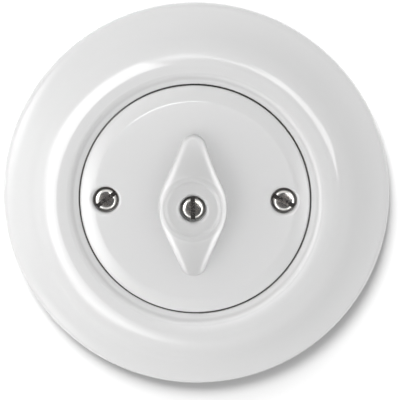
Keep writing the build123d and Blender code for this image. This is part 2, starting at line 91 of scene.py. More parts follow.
def add_node(
    tree: bpy.types.NodeTree,
    kind: str,
    settings: dict[Any, Any] | None = None,
    links: dict[Any, bpy.types.NodeSocket] | None = None,
) -> bpy.types.Node:
    """Adds a node with its settings and links.

    Args:
        tree: node tree that gets the node.
        kind: Blender's type name for the node.
        settings: the node's own properties by name, and its inputs' values by socket name or place.
        links: the output that feeds each input, by socket name or place.

    Returns:
        The new node.
    """
    node = tree.nodes.new(kind)
    for name, value in (settings or {}).items():
        if isinstance(name, str) and name in node.bl_rna.properties:
            setattr(node, name, value)
        else:
            node.inputs[name].default_value = value
    for name, output in (links or {}).items():
        tree.links.new(output, node.inputs[name])
    return node


class Grain(Enum):
    """The way that the marks of making run, as how far a pattern is drawn out along X, Y and Z."""

    EVEN = (1.0, 1.0, 1.0)
    ROLLED_ACROSS = (1.0, 1.0, 0.06)
    TURNED = (0.05, 1.0, 0.05)


@dataclass(frozen=True)
class Ring:
    """A ring on the front, round the knob's axis or round an axis to either side of it."""

    radius_mm: float
    width_mm: float
    soft_mm: float
    aside_mm: float = 0.0


@dataclass
class Coat:
    """A new material, its shader and the place on the object in metres."""

    material: bpy.types.Material
    tree: bpy.types.NodeTree
    shader: bpy.types.Node
    place: bpy.types.NodeSocket


@dataclass(frozen=True)
class Finish(ABC):
    """What every finish has: its name, its two tones and the gloss of its surface."""

    name: str
    tone: str
    second_tone: str
    roughness: float
    roughness_spread: float

    @abstractmethod
    def make(self) -> bpy.types.Material:
        """Makes the material."""

    def coat(self) -> Coat:
        """Makes the bare material with its shader and object coordinates.

        Returns:
            The material as a Coat.
        """
        material = bpy.data.materials.new(self.name)
        material.use_nodes = True
        tree = material.node_tree
        shader = tree.nodes["Principled BSDF"]
        place = add_node(tree, "ShaderNodeTexCoord").outputs["Object"]
        return Coat(material, tree, shader, place)

    def two_tones(self, coat: Coat, pattern: bpy.types.NodeSocket) -> bpy.types.NodeSocket:
        """Mixes the finish's two tones by a pattern and links them to the shader's colour.

        Args:
            coat: the material under work.
            pattern: a value from 0, the first tone, to 1, the second.

        Returns:
            The mixed colour.
        """
        tones = add_node(
            coat.tree,
            "ShaderNodeMix",
            {"data_type": "RGBA", COLOUR_A: linear(self.tone), COLOUR_B: linear(self.second_tone)},
            {SHARE: pattern},
        )
        coat.tree.links.new(tones.outputs[COLOUR_OUT], coat.shader.inputs["Base Color"])
        return tones.outputs[COLOUR_OUT]

    def vary_roughness(self, coat: Coat, pattern: bpy.types.NodeSocket) -> None:
        """Spreads the roughness either side of its middle value by a pattern.

        Args:
            coat: the material under work.
            pattern: a value from 0 to 1.
        """
        spread = add_node(
            coat.tree,
            "ShaderNodeMapRange",
            {
                "To Min": max(self.roughness - self.roughness_spread, LEAST_ROUGHNESS),
                "To Max": self.roughness + self.roughness_spread,
            },
            {"Value": pattern},
        )
        coat.tree.links.new(spread.outputs["Result"], coat.shader.inputs["Roughness"])

    def noise(
        self,
        coat: Coat,
        size_mm: float,
        grain: Grain = Grain.EVEN,
        detail: float = 2.0,
    ) -> bpy.types.NodeSocket:
        """Adds a noise pattern of a real size.

        Args:
            coat: the material under work.
            size_mm: how far apart the pattern's marks are.
            grain: the way that the marks run.
            detail: how many finer layers lie on the first.

        Returns:
            The pattern, from 0 to 1.
        """
        along = add_node(
            coat.tree,
            "ShaderNodeMapping",
            {"Scale": grain.value},
            {"Vector": coat.place},
        )
        marks = add_node(
            coat.tree,
            "ShaderNodeTexNoise",
            {"Scale": per_metre(size_mm), "Detail": detail},
            {"Vector": along.outputs["Vector"]},
        )
        return marks.outputs["Fac"]

    def relief(self, coat: Coat, height: bpy.types.NodeSocket, depth_mm: float) -> None:
        """Gives the shader a bump of a real depth.

        Args:
            coat: the material under work.
            height: the pattern, from 0 to 1.
            depth_mm: how deep the pattern is.
        """
        bump = add_node(
            coat.tree,
            "ShaderNodeBump",
            {"Strength": 1.0, "Distance": depth_mm * MM},
            {"Height": height},
        )
        coat.tree.links.new(bump.outputs["Normal"], coat.shader.inputs["Normal"])

    def from_axis(self, coat: Coat, aside_mm: float = 0.0) -> bpy.types.NodeSocket:
        """Measures how far a place is from an axis that runs from the wall to the room.

        Args:
            coat: the material under work.
            aside_mm: how far to either side of the knob's axis it lies.

        Returns:
            The distance in metres.
        """
        parts = add_node(coat.tree, "ShaderNodeSeparateXYZ", {}, {"Vector": coat.place})
        either = add_node(
            coat.tree,
            "ShaderNodeMath",
            {"operation": "ABSOLUTE"},
            {0: parts.outputs["X"]},
        )
        across = add_node(
            coat.tree,
            "ShaderNodeMath",
            {"operation": "SUBTRACT", 1: aside_mm * MM},
            {0: either.outputs["Value"]},
        )
        flat = add_node(
            coat.tree,
            "ShaderNodeCombineXYZ",
            {},
            {"X": across.outputs["Value"], "Z": parts.outputs["Z"]},
        )
        reach = add_node(
            coat.tree,
            "ShaderNodeVectorMath",
            {"operation": "LENGTH"},
            {0: flat.outputs["Vector"]},
        )
        return reach.outputs["Value"]

    def ring(self, coat: Coat, ring: Ring) -> bpy.types.NodeSocket:
        """Marks a ring round an axis.

        Args:
            coat: the material under work.
            ring: the ring's sizes.

        Returns:
            A value of 1 on the ring and 0 away from it.
        """
        aside = add_node(
            coat.tree,
            "ShaderNodeMath",
            {"operation": "SUBTRACT", 1: ring.radius_mm * MM},
            {0: self.from_axis(coat, ring.aside_mm)},
        )
        off = add_node(
            coat.tree,
            "ShaderNodeMath",
            {"operation": "ABSOLUTE"},
            {0: aside.outputs["Value"]},
        )
        mark = add_node(
            coat.tree,
            "ShaderNodeMapRange",
            {
                "interpolation_type": "SMOOTHSTEP",
                "From Min": (ring.width_mm / 2 + ring.soft_mm) * MM,
                "From Max": ring.width_mm / 2 * MM,
            },
            {"Value": off.outputs["Value"]},
        )
        return mark.outputs["Result"]


@dataclass(frozen=True)
class GlazedPorcelain(Finish):
    """Pressed porcelain dipped in clear glaze: a smooth white gloss that lies a little unevenly."""

    ior: float = 1.52
    cloud_mm: float = 32.0
    ripple_mm: float = 16.0
    ripple_depth_mm: float = 0.006
    speck_spacing_mm: float = 17.0
    speck_mm: float = 0.22
    speck_tone: str = "#77716A"
    foot_tone: str = "#D8D3C8"
    foot_height_mm: float = 0.12
    gap_shade_tone: str = "#82807D"
    shaded_gap: Ring | None = None
    gap_shade_height_mm: float = 9.8
    recess_shade_tone: str = "#A09D9A"
    shaded_recess: Ring | None = None
    recess_shade_height_mm: float = 10.1
    dull: Ring | None = None
    dull_roughness: float = 0.42
    dull_shade_tone: str = "#D4D4D4"
    shade_soft_mm: float = 0.5

    def paint_deep_shade(
        self,
        coat: Coat,
        colour: bpy.types.NodeSocket,
        ring: Ring,
        tone: str,
        height_mm: float,
    ) -> bpy.types.NodeSocket:
        """Paints shade on what lies deep in a round gap, darker towards the wall.

        Args:
            coat: the material under work.
            colour: the colour so far.
            ring: where the gap runs.
            tone: the painted shade's colour.
            height_mm: how far from the wall the painted shade reaches.

        Returns:
            The colour with the painted shade.
        """
        parts = add_node(coat.tree, "ShaderNodeSeparateXYZ", {}, {"Vector": coat.place})
        # painted shade, darkest deep down towards the wall
        deep = add_node(
            coat.tree,
            "ShaderNodeMapRange",
            {
                "interpolation_type": "SMOOTHSTEP",
                "From Min": -(height_mm + self.shade_soft_mm) * MM,
                "From Max": -height_mm * MM,
            },
            {"Value": parts.outputs["Y"]},
        )
        shade_mask = add_node(
            coat.tree,
            "ShaderNodeMath",
            {"operation": "MULTIPLY"},
            {0: self.ring(coat, ring), 1: deep.outputs["Result"]},
        )
        darkened = add_node(
            coat.tree,
            "ShaderNodeMix",
            {"data_type": "RGBA", COLOUR_B: linear(tone)},
            {SHARE: shade_mask.outputs["Value"], COLOUR_A: colour},
        )
        return darkened.outputs[COLOUR_OUT]

    def make(self) -> bpy.types.Material:
        """Makes the material.

        Returns:
            White glaze with slow ripples, rare firing specks and a bare foot. Painted shade in gaps
            and recesses, and a duller ring painted greyer as shade, are there where the finish has
            them.
        """
        coat = self.coat()
        tree, shader = coat.tree, coat.shader
        shader.inputs["IOR"].default_value = self.ior
        cloud = self.noise(coat, self.cloud_mm)
        body = self.two_tones(coat, cloud)
        # a firing speck is a dark dot, where a cell's middle happens to lie in the surface
        cells = add_node(
            tree,
            "ShaderNodeTexVoronoi",
            {"Scale": per_metre(self.speck_spacing_mm)},
            {"Vector": coat.place},
        )
        dot = add_node(
            tree,
            "ShaderNodeMath",
            {"operation": "LESS_THAN", 1: self.speck_mm / self.speck_spacing_mm},
            {0: cells.outputs["Distance"]},
        )
        specked = add_node(
            tree,
            "ShaderNodeMix",
            {"data_type": "RGBA", COLOUR_B: linear(self.speck_tone)},
            {SHARE: dot.outputs["Value"], COLOUR_A: body},
        )
        # the foot ring is wiped free of glaze, so it is dull and a little warm
        height = add_node(tree, "ShaderNodeSeparateXYZ", {}, {"Vector": coat.place})
        foot = add_node(
            tree,
            "ShaderNodeMath",
            {"operation": "GREATER_THAN", 1: -self.foot_height_mm * MM},
            {0: height.outputs["Y"]},
        )
        footed = add_node(
            tree,
            "ShaderNodeMix",
            {"data_type": "RGBA", COLOUR_B: linear(self.foot_tone)},
            {SHARE: foot.outputs["Value"], COLOUR_A: specked.outputs[COLOUR_OUT]},
        )
        colour = footed.outputs[COLOUR_OUT]
        # painted shade deep in the gap round the plate
        if self.shaded_gap:
            height_mm = self.gap_shade_height_mm
            colour = self.paint_deep_shade(coat, colour, self.shaded_gap, self.gap_shade_tone, height_mm)
        # painted shade deep round the screws, in their recesses
        if self.shaded_recess:
            height_mm = self.recess_shade_height_mm
            colour = self.paint_deep_shade(coat, colour, self.shaded_recess, self.recess_shade_tone, height_mm)
        gloss = add_node(
            tree,
            "ShaderNodeMapRange",
            {"To Min": self.roughness, "To Max": self.roughness + self.roughness_spread},
            {"Value": foot.outputs["Value"]},
        )
        roughness = gloss.outputs["Result"]
        if self.dull:
            # where the glaze runs thin or is worn it is duller, and it is painted a little greyer as
            # shade against the light that the duller gloss gathers
            worn = self.ring(coat, self.dull)
            shaded_dull = add_node(
                tree,
                "ShaderNodeMix",
                {"data_type": "RGBA", COLOUR_B: linear(self.dull_shade_tone)},
                {SHARE: worn, COLOUR_A: colour},
            )
            thinned = add_node(
                tree,
                "ShaderNodeMix",
                {"data_type": "FLOAT", VALUE_B: self.dull_roughness},
                {SHARE: worn, VALUE_A: roughness},
            )
            colour, roughness = shaded_dull.outputs[COLOUR_OUT], thinned.outputs[VALUE_OUT]
        tree.links.new(colour, shader.inputs["Base Color"])
        tree.links.new(roughness, shader.inputs["Roughness"])
        self.relief(coat, self.noise(coat, self.ripple_mm, detail=0.0), self.ripple_depth_mm)
        return coat.material


@dataclass(frozen=True)
class PlatedMetal(Finish):
    """Bright plating on steel: it mirrors the room, dulled in patches and finely scratched."""

    patch_mm: float
    scratch_mm: float
    scratch_depth_mm: float

    def make(self) -> bpy.types.Material:
        """Makes the material.

        Returns:
            A bright metal with tarnished patches, uneven gloss and fine scratches.
        """
        coat = self.coat()
        coat.shader.inputs["Metallic"].default_value = 1.0
        patches = self.noise(coat, self.patch_mm, detail=3.0)
        self.two_tones(coat, patches)
        self.vary_roughness(coat, patches)
        scratches = self.noise(coat, self.scratch_mm, Grain.ROLLED_ACROSS)
        self.relief(coat, scratches, self.scratch_depth_mm)
        return coat.material


@dataclass(frozen=True)
class NickelledHead(Finish):
    """A nickelled screw head: bright on its rounded edge, scuffed dark on its flat."""

    patch_mm: float
    flat_mm: float
    flat_edge_mm: float
    scuff_tone: str
    scuff_mm: float
    scuff_depth_mm: float
    least_scuff: float
    most_scuff: float
    slot_shade_tone: str
    slot_shade_start_mm: float
    slot_depth_mm: float
    cover_level_mm: float
    knob_level_mm: float
    screw_aside_mm: float
    head_reach_mm: float

    def slot_shade(self, coat: Coat) -> bpy.types.NodeSocket:
        """Marks the floors of the slots, where shade is painted.

        Args:
            coat: the material under work.

        Returns:
            A value of 1 down in a slot and 0 on the head.
        """
        tree = coat.tree
        parts = add_node(tree, "ShaderNodeSeparateXYZ", {}, {"Vector": coat.place})
        either = add_node(
            tree,
            "ShaderNodeMath",
            {"operation": "ABSOLUTE"},
            {0: parts.outputs["X"]},
        )
        # the knob's screw stands further out into the room than the two beside it
        level = add_node(
            tree,
            "ShaderNodeMapRange",
            {
                "From Min": self.head_reach_mm * MM,
                "From Max": (self.screw_aside_mm - self.head_reach_mm) * MM,
                "To Min": self.knob_level_mm * MM,
                "To Max": self.cover_level_mm * MM,
            },
            {"Value": either.outputs["Value"]},
        )
        down = add_node(
            tree,
            "ShaderNodeMath",
            {"operation": "ADD"},
            {0: level.outputs["Result"], 1: parts.outputs["Y"]},
        )
        floor = add_node(
            tree,
            "ShaderNodeMapRange",
            {
                "interpolation_type": "SMOOTHSTEP",
                "From Min": self.slot_shade_start_mm * MM,
                "From Max": self.slot_depth_mm * MM,
            },
            {"Value": down.outputs["Value"]},
        )
        return floor.outputs["Result"]

    def make(self) -> bpy.types.Material:
        """Makes the material.

        Returns:
            A bright metal whose flat middle is rough, darker and a little brown, with painted shade
            in its slot.
        """
        coat = self.coat()
        tree, shader = coat.tree, coat.shader
        shader.inputs["Metallic"].default_value = 1.0
        patches = self.noise(coat, self.patch_mm, detail=3.0)
        bright = self.two_tones(coat, patches)
        nearest = add_node(
            tree,
            "ShaderNodeMath",
            {"operation": "MINIMUM"},
            {0: self.from_axis(coat), 1: self.from_axis(coat, self.screw_aside_mm)},
        )
        flat = add_node(
            tree,
            "ShaderNodeMapRange",
            {
                "interpolation_type": "SMOOTHSTEP",
                "From Min": self.flat_edge_mm * MM,
                "From Max": self.flat_mm * MM,
            },
            {"Value": nearest.outputs["Value"]},
        )
        grit = self.noise(coat, self.scuff_mm, detail=3.0)
        marks = add_node(
            tree,
            "ShaderNodeMapRange",
            {
                "interpolation_type": "SMOOTHSTEP",
                "From Min": self.least_scuff,
                "From Max": self.most_scuff,
            },
            {"Value": grit},
        )
        dark = add_node(
            tree,
            "ShaderNodeMath",
            {"operation": "MULTIPLY"},
            {0: flat.outputs["Result"], 1: marks.outputs["Result"]},
        )
        scuffed = add_node(
            tree,
            "ShaderNodeMix",
            {"data_type": "RGBA", COLOUR_B: linear(self.scuff_tone)},
            {SHARE: dark.outputs["Value"], COLOUR_A: bright},
        )
        # painted shade down in the slots
        slot_shaded = add_node(
            tree,
            "ShaderNodeMix",
            {"data_type": "RGBA", COLOUR_B: linear(self.slot_shade_tone)},
            {SHARE: self.slot_shade(coat), COLOUR_A: scuffed.outputs[COLOUR_OUT]},
        )
        tree.links.new(slot_shaded.outputs[COLOUR_OUT], shader.inputs["Base Color"])
        self.vary_roughness(coat, dark.outputs["Value"])
        rough = add_node(
            tree,
            "ShaderNodeMath",
            {"operation": "MULTIPLY"},
            {0: flat.outputs["Result"], 1: grit},
        )
        self.relief(coat, rough.outputs["Value"], self.scuff_depth_mm)
        return coat.material


@dataclass(frozen=True)
class WorkedMetal(Finish):
    """Bare metal as rolled or turned: lines run the way that it was worked."""

    grain: Grain
    line_mm: float
    line_depth_mm: float
    lines_in_cloud: int = 12

    def make(self) -> bpy.types.Material:
        """Makes the material.

        Returns:
            A bare metal with lines of its making in tone, gloss and relief.
        """
        coat = self.coat()
        coat.shader.inputs["Metallic"].default_value = 1.0
        lines = self.noise(coat, self.line_mm, self.grain, detail=3.0)
        self.two_tones(coat, self.noise(coat, self.line_mm * self.lines_in_cloud))
        self.vary_roughness(coat, lines)
        self.relief(coat, lines, self.line_depth_mm)
        return coat.material


@dataclass(frozen=True)
class PressedInsulator(Finish):
    """Dull insulating stuff pressed from powder or paper: mottled, with a fine grain."""

    ior: float
    mottle_mm: float
    grit_mm: float
    grit_depth_mm: float

    def make(self) -> bpy.types.Material:
        """Makes the material.

        Returns:
            A dull body with a slow mottle and a fine grit.
        """
        coat = self.coat()
        coat.shader.inputs["IOR"].default_value = self.ior
        mottle = self.noise(coat, self.mottle_mm, detail=4.0)
        self.two_tones(coat, mottle)
        self.vary_roughness(coat, mottle)
        self.relief(coat, self.noise(coat, self.grit_mm), self.grit_depth_mm)
        return coat.material


# the gap between frame and plate, with its painted shade, and how far aside of the knob's axis the
# plate's screws are
GAP_SHADE = Ring(radius_mm=29.7, width_mm=1.0, soft_mm=0.5)
SCREW_ASIDE_MM = 22.8

# White feldspar porcelain under a clear glaze: a cool white with mirror-sharp lamp reflections.
FRAME_PORCELAIN = GlazedPorcelain(
    "glazed_frame_porcelain",
    "#E8E8E8",
    "#E4E4E4",
    roughness=0.07,
    roughness_spread=0.6,
    # painted shade in the gap round the plate
    shaded_gap=GAP_SHADE,
    # a duller ring along the lip, painted greyer as shade
    dull=Ring(radius_mm=32.0, width_mm=1.2, soft_mm=0.5),
)
# The same glaze on the plate, which came from another firing and is a little softer in its shine.
PLATE_PORCELAIN = GlazedPorcelain(
    "glazed_plate_porcelain",
    "#E8E8E8",
    "#E4E4E4",
    roughness=0.09,
    roughness_spread=0.6,
    # painted shade in the gap round the plate
    shaded_gap=GAP_SHADE,
    # painted shade in the recesses round the plate's screws
    shaded_recess=Ring(radius_mm=3.2, width_mm=0.3, soft_mm=0.2, aside_mm=SCREW_ASIDE_MM),
)
# The knob's porcelain is painted a shade greyer than the plate's, as painted shade on its face; its
# glaze is silkier, and worn dull in the dish.
KNOB_PORCELAIN = GlazedPorcelain(
    "glazed_knob_porcelain",
    "#C9C9C9",
    "#C5C5C5",
    roughness=0.38,
    roughness_spread=0.4,
    # painted shade in the recess round the knob's screw
    shaded_recess=Ring(radius_mm=3.2, width_mm=0.3, soft_mm=0.2),
    recess_shade_height_mm=22.7,
    dull=Ring(radius_mm=5.6, width_mm=4.8, soft_mm=0.6),
    dull_roughness=0.6,
    dull_shade_tone="#B8B8B8",
)
# Nickel on turned steel heads: a bright mirror at the edge, a scuffed dark grey on the flat.
NICKEL = NickelledHead(
    "nickel_plated_steel",
    "#E6E5E2",
    "#CFCCC7",
    roughness=0.2,
    roughness_spread=0.12,
    patch_mm=0.9,
    flat_mm=1.5,
    flat_edge_mm=2.0,
    scuff_tone="#8C8680",
    scuff_mm=0.42,
    scuff_depth_mm=0.03,
    least_scuff=0.42,
    most_scuff=0.58,
    # painted shade in the slots
    slot_shade_tone="#908C88",
    slot_shade_start_mm=0.5,
    slot_depth_mm=0.8,
    cover_level_mm=11.8,
    knob_level_mm=24.5,
    screw_aside_mm=SCREW_ASIDE_MM,
    head_reach_mm=3.5,
)
# Zinc on pressed and turned steel: a dull bluish grey, clouded in patches.
ZINC = PlatedMetal(
    "zinc_plated_steel",
    "#B9BDC0",
    "#8F9498",
    roughness=0.36,
    roughness_spread=0.1,
    patch_mm=4.0,
    scratch_mm=0.5,
    scratch_depth_mm=0.004,
)
# Turned and milled free-cutting steel: fine rings round the axis.
STEEL = WorkedMetal(
    "turned_steel",
    "#B4B3B0",
    "#8D8C8A",
    roughness=0.3,
    roughness_spread=0.1,
    grain=Grain.TURNED,
    line_mm=0.35,
    line_depth_mm=0.006,
)
# Hardened spring strip let down to blue: a dark slate sheen along the strip.
SPRING_STEEL = WorkedMetal(
    "blued_spring_steel",
    "#5D6675",
    "#3F4552",
    roughness=0.3,
    roughness_spread=0.08,
    grain=Grain.ROLLED_ACROSS,
    line_mm=0.4,
    line_depth_mm=0.003,
)
# Drawn and milled brass: warm yellow with lines of the cutter, browned by handling.
BRASS = WorkedMetal(
    "machined_brass",
    "#D9B465",
    "#B58D43",
    roughness=0.28,
    roughness_spread=0.1,
    grain=Grain.ROLLED_ACROSS,
    line_mm=0.4,
    line_depth_mm=0.004,
)
# Rolled phosphor bronze strip: redder than brass, with a soft satin from the rolls.
BRONZE = WorkedMetal(
    "rolled_phosphor_bronze",
    "#C98F5E",
    "#A56C42",
    roughness=0.32,
    roughness_spread=0.08,
    grain=Grain.ROLLED_ACROSS,
    line_mm=0.35,
    line_depth_mm=0.003,
)
# Pressed phenolic moulding powder: nearly black brown with a soft shine and paler flecks.
THERMOSET = PressedInsulator(
    "pressed_thermoset",
    "#2B211C",
    "#1B1512",
    roughness=0.42,
    roughness_spread=0.08,
    ior=1.6,
    mottle_mm=2.2,
    grit_mm=0.5,
    grit_depth_mm=0.004,
)
# Resin-bonded hard paper: red brown sheet with a fibrous cloud.
HARD_PAPER = PressedInsulator(
    "hard_paper",
    "#7A4A2C",
    "#5E3620",
    roughness=0.5,
    roughness_spread=0.08,
    ior=1.55,
    mottle_mm=1.8,
    grit_mm=0.4,
    grit_depth_mm=0.005,
)
# Pressed and fired steatite: a creamy dull white with a fine dusty grain.
STEATITE = PressedInsulator(
    "fired_steatite",
    "#E2DCCD",
    "#D3CBB8",
    roughness=0.62,
    roughness_spread=0.08,
    ior=1.57,
    mottle_mm=9.0,
    grit_mm=0.5,
    grit_depth_mm=0.01,
)


@dataclass
class SubAssembly:
    """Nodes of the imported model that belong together, each with its finish."""

    name: str
    nodes: dict[str, Finish] = field(default_factory=dict)

    def dress(self, frame: dict[str, Any], made: dict[str, bpy.types.Material]) -> None:
        """Gives each node its material in place of the one it was packed with.

        Args:
            made: materials that were made before, by name, which this adds to.
        """
        for node, finish in self.nodes.items():
            if finish.name not in made:
                made[finish.name] = finish.make()
            mesh = frame["nodes"][node].data
            mesh.materials.clear()
            mesh.materials.append(made[finish.name])
            LOG.info("%s: %s in %s", self.name, node, finish.name)


@dataclass
class Cover(SubAssembly):
    """What is seen from the room: the porcelain and its three screws."""

    name: str = "cover"
    nodes: dict[str, Finish] = field(
        default_factory=lambda: {
            "frame": FRAME_PORCELAIN,
            "cover_plate": PLATE_PORCELAIN,
            "knob": KNOB_PORCELAIN,
            "cover_screws": NICKEL,
            "knob_screw": NICKEL,
        }
    )


@dataclass
class Carrier(SubAssembly):
    """What holds the switch in its wall box and the cover on the switch."""

    name: str = "carrier"
    nodes: dict[str, Finish] = field(
        default_factory=lambda: {
            "support_ring": ZINC,
            "base_screws": ZINC,
            "cover_post_left": BRASS,
            "cover_post_right": BRASS,
            "bearing_bridge": BRASS,
            "insulating_disc": HARD_PAPER,
            "base": STEATITE,
        }
    )


@dataclass
class Works(SubAssembly):
    """What turns with the knob, and the springs and contacts that it moves past."""

    name: str = "works"
    nodes: dict[str, Finish] = field(
        default_factory=lambda: {
            "spindle": STEEL,
            "spindle_clip": SPRING_STEEL,
            "rotor_drum": THERMOSET,
            "contact_ring": BRASS,
            "detent_spring_left": SPRING_STEEL,
            "detent_spring_right": SPRING_STEEL,
            "common_terminal": BRASS,
            "first_way_terminal": BRASS,
            "second_way_terminal": BRASS,
            "common_contact": BRONZE,
            "first_way_contact": BRONZE,
            "second_way_contact": BRONZE,
            "contact_rivets": BRASS,
            "terminal_screws": ZINC,
        }
    )


def direction(azimuth: float, elevation: float) -> Vector:
    """Gives the direction from the switch to a place in the room.

    Args:
        azimuth: degrees to the right of straight in front.
        elevation: degrees above the horizon.

    Returns:
        A vector of length 1.
    """
    turn, rise = math.radians(azimuth), math.radians(elevation)
    level = math.cos(rise)
    return Vector((math.sin(turn) * level, -math.cos(turn) * level, math.sin(rise)))


class Reach(Enum):
    """What a lamp gives: all its light, only gloss, only even light, or that without a shadow."""

    ALL = "all"
    GLOSS = "gloss"
    EVEN = "even"
    SHADOWLESS = "shadowless"


# what a lamp may be kept to
FRAME = ("frame",)
SCREWS = ("cover_screws", "knob_screw")
FACE = ("cover_plate", "knob")
PLATE = ("cover_plate",)
KNOB = ("knob",)
FRONT = FRAME + FACE + SCREWS
WALL = ("wall",)
# how lamps fade: from the middle to every edge, near the left and right edge, or gently all round
BELL = (0.5, 0.5, 0.5, 0.5)
SIDES = (0.2, 0.2, 0.0, 0.0)
GENTLE = (0.4, 0.4, 0.3, 0.3)


@dataclass(frozen=True)
class Softbox:
    """A rectangular diffuse lamp that faces the switch, in degrees and metres.

    Its fade is the share of it that dims towards its left, right, lower and upper edge.
    """

    name: str
    azimuth: float
    elevation: float
    distance: float
    width: float
    height: float
    radiance: float
    onto: tuple[str, ...]
    reach: Reach = Reach.GLOSS
    roll: float = 0.0
    fade: tuple[float, float, float, float] = (0.0, 0.0, 0.0, 0.0)

    def soften(self, data: bpy.types.Light) -> None:
        """Lets the lamp's light fall off towards its edges, as cloth does over a bulb.

        Args:
            data: the lamp, which fades at one edge at least.
        """
        data.use_nodes = True
        tree = data.node_tree
        glow = tree.nodes["Emission"]
        spot = add_node(tree, "ShaderNodeNewGeometry").outputs["Parametric"]
        across = add_node(tree, "ShaderNodeSeparateXYZ", {}, {"Vector": spot})
        strength = None
        # an even edge is where the place across or up the lamp is 0, an odd one where it is 1
        for edge, share in enumerate(self.fade):
            if share <= 0:
                continue
            near, far = (0.0, share) if edge % 2 == 0 else (1.0, 1.0 - share)
            dim = add_node(
                tree,
                "ShaderNodeMapRange",
                {"interpolation_type": "SMOOTHSTEP", "From Min": near, "From Max": far},
                {"Value": across.outputs["XY"[edge // 2]]},
            ).outputs["Result"]
            if strength is None:
                strength = dim
            else:
                strength = add_node(
                    tree,
                    "ShaderNodeMath",
                    {"operation": "MULTIPLY"},
                    {0: strength, 1: dim},
                ).outputs["Value"]
        tree.links.new(strength, glow.inputs["Strength"])

    def hang(self, lit: dict[str, bpy.types.Object]) -> None:
        """Hangs the lamp so that it faces the middle of the switch.

        Args:
            lit: what a lamp may be kept to, by name.
        """
        data = bpy.data.lights.new(self.name, "AREA")
        data.shape = "RECTANGLE"
        data.size, data.size_y = self.width, self.height
        # a flat lamp sends out power over half the room by the cosine law
        data.energy = self.radiance * math.pi * self.width * self.height
        if any(self.fade):
            self.soften(data)
        lamp = bpy.data.objects.new(self.name, data)
        outwards = direction(self.azimuth, self.elevation)
        lamp.location = outwards * self.distance
        lamp.rotation_mode = "QUATERNION"
        facing = (-outwards).to_track_quat("-Z", "Y")
        lamp.rotation_quaternion = facing @ Quaternion((0, 0, 1), math.radians(self.roll))
        bpy.context.scene.collection.objects.link(lamp)
        kept = bpy.data.collections.new(f"{self.name}_onto")
        for name in self.onto:
            kept.objects.link(lit[name])
        lamp.light_linking.receiver_collection = kept
        # with both off, none of a shadowless lamp's light is found by rays that the knob could stop
        data.use_shadow = self.reach is not Reach.SHADOWLESS
        data.cycles.use_multiple_importance_sampling = self.reach is not Reach.SHADOWLESS
        lamp.visible_diffuse = self.reach is not Reach.GLOSS
        lamp.visible_glossy = self.reach in (Reach.ALL, Reach.GLOSS)


